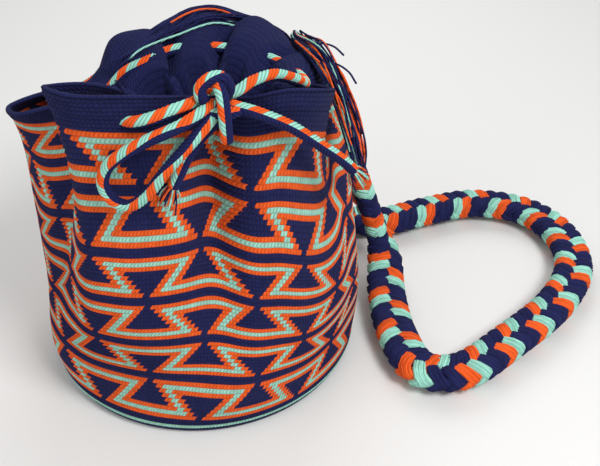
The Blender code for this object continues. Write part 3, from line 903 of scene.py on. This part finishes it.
def plait():
    """Eight bundles round the strap's middle line, which pass under and over those that go the other way."""
    length = reach_of(along([p for p, face in STRAP], STRAP_STEP))[-1]
    turns = length / PLAIT_LAY
    count = round(turns * PLAIT_STEPS) + 1
    middle, across, out = strap_frames(count)
    turned = 2 * np.pi * turns * np.linspace(0, 1, count)
    wide = STRAP_WIDTH / 2 - BUNDLE_THICK
    high = STRAP_THICK / 2 - BUNDLE_THICK
    pile = Pile()
    for hand in (1, -1):
        for bundle, slot in enumerate(BUNDLE_COLOURS):
            angle = hand * (turned + 2 * np.pi * bundle / 4) + (np.pi / 8 if hand < 0 else 0)
            lift = BUNDLE_THICK / 2 * hand * np.sin(2 * angle)
            path = (middle + across * ((wide + lift) * np.cos(angle))[:, None]
                    + out * ((high + lift) * np.sin(angle))[:, None])
            away = across * (np.cos(angle) / wide)[:, None] + out * (np.sin(angle) / high)[:, None]
            _, lifted, side = frames(path, away)
            for ply in (-2, -1, 0, 1, 2):
                line = path + side * ply * STRAND_PITCH - lifted * ply * ply * STRAND_DROP
                tube(pile, line, STRAND_WIDTH, STRAND_THICK, 6, slot, side, lifted)
    return pile.make("plait", three_yarns("bundle", 3, 0.04))


def strap_end(right):
    """Where the plait's right or left end is, the way it points, the way across it and the way it faces."""
    middle, across, out = strap_frames(400)
    if right:
        return middle[-1], unit(middle[-1] - middle[-4]), across[-1], out[-1]
    return middle[0], unit(middle[0] - middle[3]), across[0], out[0]


def binding(name, right, yarns):
    """Yarn wound tightly round the end of the plait."""
    end, way, across, out = strap_end(right)
    across = unit(across - way * (across @ way))
    out = np.cross(way, across)
    turn = np.linspace(0, 2 * np.pi * WINDS, WINDS * 26 + 1)
    share = turn / turn[-1]
    swell = 1 - 0.16 * np.abs(2 * share - 1) ** 3
    thick = BINDING_LENGTH / WINDS * 1.12
    wide, deep = BINDING_WIDTH - thick, BINDING_DEPTH - thick
    path = (end + way * (0.0006 + thick / 2 + (BINDING_LENGTH - thick) * share)[:, None]
            + across * (np.cos(turn) * wide / 2 * swell)[:, None]
            + out * (np.sin(turn) * deep / 2 * swell)[:, None])
    away = across * np.cos(turn)[:, None] + out * np.sin(turn)[:, None]
    _, lifted, side = frames(path, away)
    pile = Pile()
    tube(pile, path, thick, thick, 8, 0, side, lifted)
    core = end + way * np.array([-0.004, 0.002, BINDING_LENGTH - 0.001])[:, None]
    tube(pile, core, wide * 0.92, deep * 0.92, 20, 0, np.tile(across, (3, 1)), np.tile(out, (3, 1)))
    return pile.make(name, yarns)


def loose_yarn(name, right, shift, sections, counts, yarns, seed, sink=0.0):
    """A bundle of cut yarns that leaves a binding. counts says how many there are of each colour, and sink
    how far the bundle has sunk on to the cloth under it."""
    end, way, across, out = strap_end(right)
    start = end + way * (BINDING_LENGTH - 0.003) + across * shift
    points, faces, widths, depths = zip((start, out, 0.012 if shift else 0.022, 0.012), *sections)
    centres = smooth(np.array(points), 10)
    knots = np.arange(len(points))
    at = np.linspace(0, len(sections), len(centres))
    width = np.maximum(np.interp(at, knots, widths) - YARN, 0.002)
    depth = np.maximum(np.interp(at, knots, depths) - YARN, 0.002)
    face = np.stack([np.interp(at, knots, [f[k] for f in faces]) for k in range(3)], axis=1)
    _, lifted, side = frames(centres, face)
    draw = np.random.default_rng(seed)
    slots = [slot for slot, count in enumerate(counts) for _ in range(count)]
    draw.shuffle(slots)
    pile = Pile()
    last = len(centres) - 1
    for slot in slots:
        angle = draw.uniform(0, 2 * np.pi)
        room = 0.5 * math.sqrt(draw.uniform(0.02, 1.0))
        drift = draw.uniform(-0.9, 0.9)
        stop = max(6, int(last * draw.uniform(0.74, 1.0)))
        loose = draw.uniform(0.0, 0.0035) * draw.uniform()
        k = np.arange(stop + 1)
        wander = angle + drift * k / last + 0.35 * np.sin(k / 7 + angle * 3)
        wave = loose * np.sin(np.pi * k / stop) * (1 + 0.5 * np.sin(k / 5 + angle))
        over = np.cos(wander) * width[k] * room
        lift = np.sin(wander) * depth[k] * room + wave - sink * np.minimum(k / 6, 1)
        path = centres[k] + side[k] * over[:, None] + lifted[k] * lift[:, None]
        _, one, two = turning_frames(path, side[0])
        tube(pile, path, YARN, YARN, 5, slot, one, two)
    return pile.make(name, yarns)


def strays(name, routes, yarns):
    """Single yarns that lie over a bundle, or stand off from it."""
    pile = Pile()
    for slot, route in routes:
        path = along(route, 0.002)
        _, one, two = turning_frames(path, (0.1, 0.9, 0.4))
        tube(pile, path, STRAY, STRAY, 6, slot, one, two)
    return pile.make(name, yarns)


def strap(yarns):
    """The plait, its bindings and the loose yarn at its ends."""
    dress(plait(), "orange_cotton", "strap")
    dress(binding("binding_left", False, yarns), "navy_cotton", "strap_binding_left")
    dress(binding("binding_right", True, yarns), "navy_cotton", "strap_binding_right")
    bundle = loose_yarn("loose_yarn_right", True, YARN_SHIFT, YARN_RIGHT, (58, 22, 9), yarns, 11)
    dress(bundle, "navy_cotton", "yarn_right")
    bundle = loose_yarn("loose_yarn_back", True, -YARN_SHIFT, YARN_BACK, (66, 2, 2), yarns, 12, sink=0.0055)
    dress(bundle, "navy_cotton", "yarn_back")
    bundle = loose_yarn("loose_yarn_left", False, 0.0, YARN_LEFT, (50, 8, 5), yarns, 13)
    dress(bundle, "navy_cotton", "yarn_left")
    dress(strays("stray_yarns_back", STRAYS_BACK, yarns), "navy_cotton", "yarn_back")
    dress(strays("stray_yarns_right", STRAYS_RIGHT, yarns), "navy_cotton", "yarn_right")


# Stage, light and camera


def stage():
    """A pale floor in plain, soft light."""
    mesh = bpy.data.meshes.new("floor")
    far = FLOOR_HALF
    mesh.from_pydata([(-far, -far, 0), (far, -far, 0), (far, far, 0), (-far, far, 0)], [], [(0, 1, 2, 3)])
    floor = bpy.data.objects.new("floor", mesh)
    bpy.context.scene.collection.objects.link(floor)
    material = bpy.data.materials.new("floor")
    material.use_nodes = True
    shader = material.node_tree.nodes["Principled BSDF"]
    shader.inputs["Base Color"].default_value = (0.80, 0.80, 0.79, 1.0)
    shader.inputs["Roughness"].default_value = 0.7
    shader.inputs["Specular IOR Level"].default_value = 0.2
    mesh.materials.append(material)

    world = bpy.data.worlds.new("studio")
    world.use_nodes = True
    world.node_tree.nodes["Background"].inputs["Color"].default_value = (1.0, 1.0, 1.0, 1.0)
    world.node_tree.nodes["Background"].inputs["Strength"].default_value = 0.42
    bpy.context.scene.world = world
    for name, at, size, power in LAMPS:
        lamp = bpy.data.lights.new(name, "AREA")
        lamp.size = size
        lamp.energy = power
        holder = bpy.data.objects.new(name, lamp)
        holder.location = at
        holder.rotation_euler = (Vector(LAMPS_AIM) - Vector(at)).to_track_quat("-Z", "Y").to_euler()
        bpy.context.scene.collection.objects.link(holder)


def camera():
    data = bpy.data.cameras.new("camera")
    data.lens = CAMERA_LENS
    data.sensor_width = 36.0
    holder = bpy.data.objects.new("camera", data)
    holder.location = CAMERA_AT
    holder.rotation_euler = (math.radians(CAMERA_TILT), 0.0, math.radians(CAMERA_TURN))
    bpy.context.scene.collection.objects.link(holder)
    bpy.context.scene.camera = holder


def dress(piece, slot, *nodes):
    """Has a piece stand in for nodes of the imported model."""
    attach(piece, "root")
    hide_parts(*nodes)


def main():
    camera()
    stage()
    bpy.context.scene.view_settings.view_transform = "Standard"
    yarns = three_yarns("yarn", 2, 0.006)
    dress(bag(crochet_material()), "navy_cotton", "bag_body")
    drawstring(yarns)
    strap(yarns)


main()
